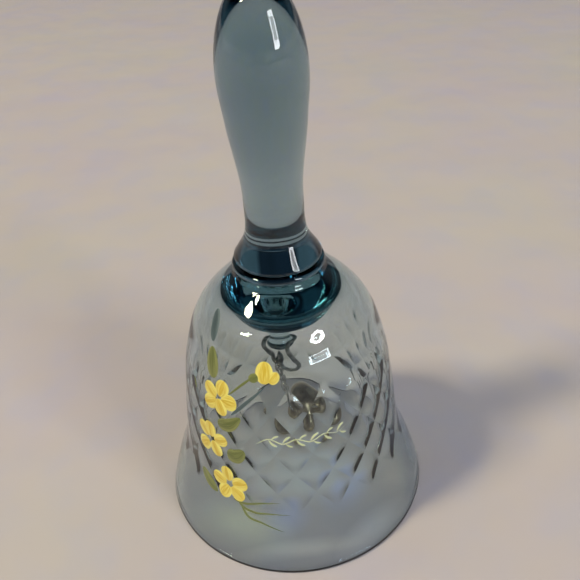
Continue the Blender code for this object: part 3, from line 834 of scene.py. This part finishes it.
# %% The bud and the stems
bm = bmesh.new()
stroke(bm, [(-13.3, 66.2), (-13.0, 69.3), (-12.7, 72.3)], 4.9, 0.3)
stroke(bm, [(-10.2, 66.6), (-7.6, 67.9), (-5.6, 69.6)], 3.0, 0.26)
painted("bud", bm, yellow)

bm = bmesh.new()
stroke(bm, [(-21.8, 66.9), (-19.0, 67.6), (-15.6, 68.4)], 2.6, 0.28)
stroke(bm, [(-18.5, 68.3), (-26.1, 64.8), (-34.5, 60.3)], 0.7, 0.2)
stroke(bm, [(-62.5, 58.8), (-60.8, 57.4), (-59.2, 55.8)], 0.6, 0.2)
painted("stems", bm, green)

# %% The leaves
LEAVES = [
    ([(-49.9, 72.0), (-47.4, 68.1), (-45.2, 63.5)], 5.4, 0.7, 1.0),
    ([(-40.9, 49.0), (-33.7, 50.4), (-26.6, 54.2)], 5.0, 1.15, 0.6),
    ([(-35.6, 39.6), (-30.7, 39.4), (-25.6, 42.4)], 5.3, 1.2, 0.8),
    ([(-54.7, 26.2), (-48.8, 23.7), (-42.3, 21.8)], 4.2, 1.0, 0.8),
]

bm = bmesh.new()
for line, width, start, finish in LEAVES:
    stroke(bm, line, width, 0.24, start, finish)
painted("leaves", bm, green)

bm = bmesh.new()
stroke(bm, [(-61.5, 79.6), (-55.5, 77.2), (-50.5, 73.2)], 3.4, 0.2, 0.7, 1.0)
stroke(bm, [(-32.1, 54.3), (-23.1, 59.7), (-12.8, 65.3)], 1.3, 0.16, 1.1, 0.5)
painted("shaded_leaf", bm, shade)

# %% The grasses
GRASSES = [
    [(-32.5, 22.3), (-27.8, 22.0), (-17.1, 23.6), (-8.5, 24.3)],
    [(-31.0, 23.4), (-28.2, 21.3), (-22.0, 20.0), (-13.9, 20.3), (-3.7, 20.3)],
    [(-28.2, 21.3), (-24.9, 18.5), (-17.1, 17.0), (-7.1, 14.8)],
]

bm = bmesh.new()
for line in GRASSES:
    stroke(bm, line, 0.75, 0.18, start=1.5, finish=0.5, rounds=36, sides=8)
painted("grasses", bm, green)

# %% [markdown]
# A fine pale sprig is drawn across the front with a liner brush: one waved stem, with two small leaves at
# each bend, the larger one inside the bend and the smaller one outside it.

# %% The pale sprig
SPRIG = [(-19, 46.2), (-12, 48.6), (-5, 47.0), (2, 48.4), (9, 46.9), (16, 48.6), (23, 47.6), (29, 49.0)]
LARGE_LEAF = [(0, 0.3), (1.6, 1.7), (4.0, 2.6)]
SMALL_LEAF = [(1.5, 0), (3.0, -0.8), (5.0, -1.2)]

bm = bmesh.new()
stroke(bm, SPRIG, 0.42, 0.14, start=1.2, finish=0.6, rounds=80, sides=8)
for number, (turn, height) in enumerate(SPRIG[1:-1]):
    side = 1 if number % 2 else -1
    large = [(turn + right, height + up * side) for right, up in LARGE_LEAF]
    small = [(turn + right, height + up * side) for right, up in SMALL_LEAF]
    stroke(bm, large, 0.85, 0.14, start=0.6, finish=1.1, sides=8)
    stroke(bm, small, 0.7, 0.14, start=0.6, finish=1.1, sides=8)
painted("sprig", bm, pale)

# %% [markdown]
# ## Table, light and camera
#
# Glass shows what is round it, so the surroundings are part of its look. The table is a wide pale cloth
# that fills what the handle bends towards the viewer. It is plain, but not as plain as paint: a slow noise
# and a faster one shift its colour a little, and a soft bump makes it lie like cloth.

# %% The cloth's colour
BLOTCHES = [(0.3, (0.5, 0.445, 0.37)), (0.5, (0.5, 0.435, 0.385)), (0.7, (0.49, 0.42, 0.4))]
MOTTLES = [(0.35, (0.96, 0.98, 1.05)), (0.5, (1, 1, 1)), (0.65, (1.02, 1.01, 0.97))]

cloth, tree, shader = new_material("pale_cloth")
blotches = ramp(tree, speckle(tree, 9, 4), BLOTCHES)
mottles = ramp(tree, speckle(tree, 38, 2), MOTTLES)
cloth_colour = mixed(tree, "MULTIPLY", blotches, mottles)
shader.inputs["Roughness"].default_value = 0.9
bumped(tree, shader, speckle(tree, 14, 2), 0.5, 6 * MM)
print("cloth:", len(BLOTCHES), "slow colours and", len(MOTTLES), "fast ones")

# %% [markdown]
# Under the real bell the thick glass gathers the light into pale pools on the cloth and leaves cooler
# places between them. A renderer finds most of that light only after a very long time, so the pools are
# tinted into the cloth. They all lie inside the rim. They belong to the table and not to the bell, so they
# stay put in every view, and each is a soft oval: a mapping centres, turns and sizes it, and the length of
# the result says how far out a point lies.

# %% Pools of light under the bell
POOLS = [
    ((0, 0), (50, 50), 0, (1.15, 1.22, 1.2)),
    ((4, -4), (26, 15), 0, (1.16, 1.24, 1.28)),
    ((-19, -23), (20, 10), -25, (1.4, 1.48, 1.24)),
    ((-4, -21), (9, 9), 20, (1.0, 1.1, 1.4)),
    ((16, -11), (9, 13), -30, (0.98, 1.08, 1.4)),
    ((24, -28), (18, 6), 38, (1.45, 1.48, 1.46)),
    ((-2, -34), (22, 4), 4, (1.4, 1.42, 1.3)),
]


def pool(colour, place, size, turn, tint):
    """Tint the cloth in a soft oval: middle and half sizes in millimetres, turn in degrees."""
    coordinates = tree.nodes.new("ShaderNodeTexCoord")
    mapping = tree.nodes.new("ShaderNodeMapping")
    mapping.vector_type = "TEXTURE"
    mapping.inputs["Location"].default_value = (place[0] * MM, place[1] * MM, 0)
    mapping.inputs["Rotation"].default_value = (0, 0, math.radians(turn))
    mapping.inputs["Scale"].default_value = (size[0] * MM, size[1] * MM, 1)
    tree.links.new(coordinates.outputs["Object"], mapping.inputs["Vector"])
    away = tree.nodes.new("ShaderNodeVectorMath")
    away.operation = "LENGTH"
    tree.links.new(mapping.outputs["Vector"], away.inputs[0])
    return mixed(tree, "MULTIPLY", colour, ramp(tree, away.outputs["Value"], [(0.2, tint), (1, (1, 1, 1))]))


for place, size, turn, tint in POOLS:
    cloth_colour = pool(cloth_colour, place, size, turn, tint)
tree.links.new(cloth_colour, shader.inputs["Base Color"])
print("pools under the bell:", len(POOLS))

# %% Lay the cloth
HALF_TABLE = 4

sheet = bmesh.new()
bmesh.ops.create_grid(sheet, x_segments=1, y_segments=1, size=HALF_TABLE)
sheet_mesh = bpy.data.meshes.new("table_cloth")
sheet.to_mesh(sheet_mesh)
sheet.free()
sheet_mesh.materials.append(cloth)
table = bpy.data.objects.new("table_cloth", sheet_mesh)
table.cycles.is_caustics_receiver = True
bpy.context.scene.collection.objects.link(table)
print("table cloth:", 2 * HALF_TABLE, "m wide")

# %% [markdown]
# The room is coloured by the direction of view. Up to a few degrees it carries on the cloth. Above that it
# is dark and a little cluttered, because dark surroundings draw the dark edges in clear glass.

# %% The room
FAR_CLOTH = (0.42, 0.37, 0.32)
LOW_ROOM = (0.036, 0.06, 0.075)
DARK_ROOM = (0.008, 0.014, 0.021)
LEVELS = [(0.0, FAR_CLOTH), (0.05, FAR_CLOTH), (0.1, LOW_ROOM), (0.4, DARK_ROOM)]
CLUTTER = [(0.35, (0.4, 0.4, 0.42)), (0.65, (1.8, 2.0, 2.3))]
CLUTTER_SCALE = 2.5
CLUTTER_SHARE = 0.8

world = bpy.data.worlds.new("room")
bpy.context.scene.world = world
world.use_nodes = True
tree = world.node_tree
direction = tree.nodes.new("ShaderNodeTexCoord").outputs["Generated"]
split = tree.nodes.new("ShaderNodeSeparateXYZ")
tree.links.new(direction, split.inputs["Vector"])
room = ramp(tree, split.outputs["Z"], LEVELS)
clutter = tree.nodes.new("ShaderNodeTexNoise")
clutter.inputs["Scale"].default_value = CLUTTER_SCALE
clutter.inputs["Detail"].default_value = 1
tree.links.new(direction, clutter.inputs["Vector"])
furnished = mixed(tree, "MULTIPLY", room, ramp(tree, clutter.outputs["Fac"], CLUTTER), CLUTTER_SHARE)
print("room: cloth-coloured up to 3 degrees, dark above 24")

# %% [markdown]
# Behind the bell stands a dim wall with a dark doorway in its middle. Glass that faces upwards mirrors it.
# The wall is three ramps multiplied, one each for how far the direction points aside, ahead and up, and it
# is then added to the room.

# %% The wall behind
BLACK = (0, 0, 0)
WHITE = (1, 1, 1)
BACK_WALL = (0.13, 0.175, 0.185)
DOORWAY = [(0.28, (0.1, 0.1, 0.1)), (0.36, WHITE)]

sides = ramp(tree, calculated(tree, "ABSOLUTE", split.outputs["X"]), DOORWAY)
ahead = ramp(tree, split.outputs["Y"], [(0.3, BLACK), (0.5, BACK_WALL)])
height = ramp(tree, split.outputs["Z"], [(0.1, BLACK), (0.2, WHITE), (0.66, WHITE), (0.76, BLACK)])
back_wall = mixed(tree, "MULTIPLY", mixed(tree, "MULTIPLY", sides, ahead), height)
whole_room = mixed(tree, "ADD", furnished, back_wall)
print("wall behind: from 12 to 41 degrees up")

# %% [markdown]
# In so dark a room the shadow on the cloth would be black. A ray that has already met the cloth therefore
# sees one even, cool light instead of the room. That fills the shadow softly, and the reflections stay as
# they are.

# %% The fill for the cloth
SKY_FILL = (0.33, 0.365, 0.5)

light_path = tree.nodes.new("ShaderNodeLightPath")
after_cloth = calculated(tree, "GREATER_THAN", light_path.outputs["Diffuse Depth"], 0.5)
fill = tree.nodes.new("ShaderNodeMixRGB")
fill.inputs["Color2"].default_value = (*SKY_FILL, 1)
tree.links.new(after_cloth, fill.inputs["Fac"])
tree.links.new(whole_room, fill.inputs["Color1"])
background = tree.nodes["Background"]
tree.links.new(fill.outputs["Color"], background.inputs["Color"])
background.inputs["Strength"].default_value = 1
print("fill light:", SKY_FILL)

# %% [markdown]
# A highlight on glass is a picture of a lamp, so each lamp has the shape of its highlight. A large warm
# oval and a small one stand high on the left: they give the two spots on the crown and throw the shadow to
# the right. On the right stand a ring and a window frame, which are lamps with a dimmed middle.

# %% One lamp
TARGET = Vector((0, 0, 0.08))


def lamp(name, turn, climb, distance, size, power, colour, shape="RECTANGLE"):
    """A soft lamp: degrees round from the front and up, metres away, (width, height) in metres, watts."""
    data = bpy.data.lights.new(name, "AREA")
    data.shape = shape
    data.size, data.size_y = size
    data.energy = power
    data.color = colour
    holder = bpy.data.objects.new(name, data)
    bpy.context.scene.collection.objects.link(holder)
    a = math.radians(turn)
    e = math.radians(climb)
    away = Vector((math.sin(a) * math.cos(e), -math.cos(a) * math.cos(e), math.sin(e)))
    holder.location = TARGET + away * distance
    holder.rotation_euler = away.to_track_quat("Z", "Y").to_euler()
    area = size[0] * size[1] * (math.pi / 4 if shape == "ELLIPSE" else 1)
    print(f"{name}: radiance {power / (math.pi * area):.0f}")
    return holder


print("lamps look at the bell", TARGET.z / MM, "mm above the cloth")

# %% A lamp with a dimmed middle
def hollow(holder, pattern, inner, strength_inside):
    """Dim the middle of a lamp, so that it mirrors as a ring or as a frame."""
    holder.data.use_nodes = True
    tree = holder.data.node_tree
    centred = tree.nodes.new("ShaderNodeVectorMath")
    centred.operation = "SUBTRACT"
    centred.inputs[1].default_value = (0.5, 0.5, 0)
    tree.links.new(tree.nodes.new("ShaderNodeNewGeometry").outputs["Parametric"], centred.inputs[0])
    if pattern == "ring":
        length = tree.nodes.new("ShaderNodeVectorMath")
        length.operation = "LENGTH"
        tree.links.new(centred.outputs["Vector"], length.inputs[0])
        outwards = length.outputs["Value"]
    else:
        apart = tree.nodes.new("ShaderNodeSeparateXYZ")
        tree.links.new(centred.outputs["Vector"], apart.inputs["Vector"])
        wide = calculated(tree, "ABSOLUTE", apart.outputs["X"])
        tall = calculated(tree, "ABSOLUTE", apart.outputs["Y"])
        outwards = calculated(tree, "MAXIMUM", wide, tall)
    outside = calculated(tree, "GREATER_THAN", outwards, inner)
    strength = between(tree, outside, strength_inside, 1)
    tree.links.new(strength, tree.nodes["Emission"].inputs["Strength"])
    print(f"{holder.name}: a {pattern}, inside {inner} it keeps {strength_inside} of its light")


# %% The lamps
WARM = (1, 0.92, 0.66)
COOL = (0.95, 0.97, 1)
DAYLIGHT = (0.86, 0.94, 1)

lamp("warm_lamp", -73, 48, 3.0, (0.6, 0.48), 38, WARM, "ELLIPSE")
small_warm_lamp = lamp("small_warm_lamp", -73, 56, 3.0, (0.34, 0.2), 24, WARM, "ELLIPSE")
small_warm_lamp.data.cycles.is_caustics_light = True
ring_lamp = lamp("ring_lamp", 45, 32, 2.5, (0.75, 0.46), 32, COOL, "ELLIPSE")
hollow(ring_lamp, "ring", 0.31, 0.03)
window = lamp("window", 38, 10, 2.5, (1.05, 0.46), 30, DAYLIGHT)
hollow(window, "frame", 0.42, 0.12)

# %% [markdown]
# The real handle shows one long streak where the bowl shows the ring and the frame, and no one set of lamps
# draws both on two such different curves. So a lamp of its own lights the handle alone, and the ring lamp
# and the window leave the handle out. Light linking does this: a lamp gets a collection of the pieces that
# receive it, or one whose pieces are marked as left out.

# %% The handle's streak
streak = lamp("handle_streak", 44, 22, 2.5, (0.62, 1.45), 48, COOL)
hollow(streak, "frame", 0.3, 0.3)

handle_light = bpy.data.collections.new("handle_light")
handle_light.objects.link(handle)
streak.light_linking.receiver_collection = handle_light
other_light = bpy.data.collections.new("other_light")
other_light.objects.link(handle)
other_light.collection_objects[0].light_linking.link_state = "EXCLUDE"
for holder in (ring_lamp, window):
    holder.light_linking.receiver_collection = other_light
print("for the handle alone:", streak.name, "and without the handle:", ring_lamp.name, window.name)

# %% [markdown]
# The camera stands where the photographer stood: close to the bell, looking steeply down, and tilted a
# little. Its place and its lens were fitted to the rim, the shoulder and the handle, so the picture has the
# same strong perspective. The lens follows from a focal length counted in pixels of the picture. The view
# transform Standard shows each colour as it is written.

# %% The camera
CAMERA_PLACE = Vector((2.60, -168.47, 197.95)) * MM
PITCH = math.radians(35.69)
ROLL = math.radians(-4.49)
SENSOR = 36
FOCAL_PIXELS = 700
PICTURE_PIXELS = 580

forward = Vector((0, math.cos(PITCH), -math.sin(PITCH)))
right = Vector((1, 0, 0))
up = right.cross(forward)
tilted_right = right * math.cos(ROLL) + up * math.sin(ROLL)
tilted_up = up * math.cos(ROLL) - right * math.sin(ROLL)
camera_data = bpy.data.cameras.new("camera")
camera_data.sensor_width = SENSOR
camera_data.lens = SENSOR * FOCAL_PIXELS / PICTURE_PIXELS
camera_data.clip_start = 0.01
camera = bpy.data.objects.new("camera", camera_data)
bpy.context.scene.collection.objects.link(camera)
matrix = Matrix((tilted_right, tilted_up, -forward)).transposed().to_4x4()
matrix.translation = CAMERA_PLACE
camera.matrix_world = matrix
bpy.context.scene.camera = camera
bpy.context.scene.view_settings.view_transform = "Standard"
print("camera lens:", round(camera_data.lens, 2), "mm")

# %% [markdown]
# Light crosses many walls of glass on its way to the camera, and each place where it runs out of bounces
# turns black. So more bounces are allowed. Bright indirect light isn't clamped either, because a clamp would
# take away the light that the glass gathers.

# %% Long paths of light
BOUNCES = 24

bpy.context.scene.cycles.sample_clamp_indirect = 0
bpy.context.scene.cycles.max_bounces = BOUNCES
bpy.context.scene.cycles.transmission_bounces = BOUNCES
print("bounces:", BOUNCES)
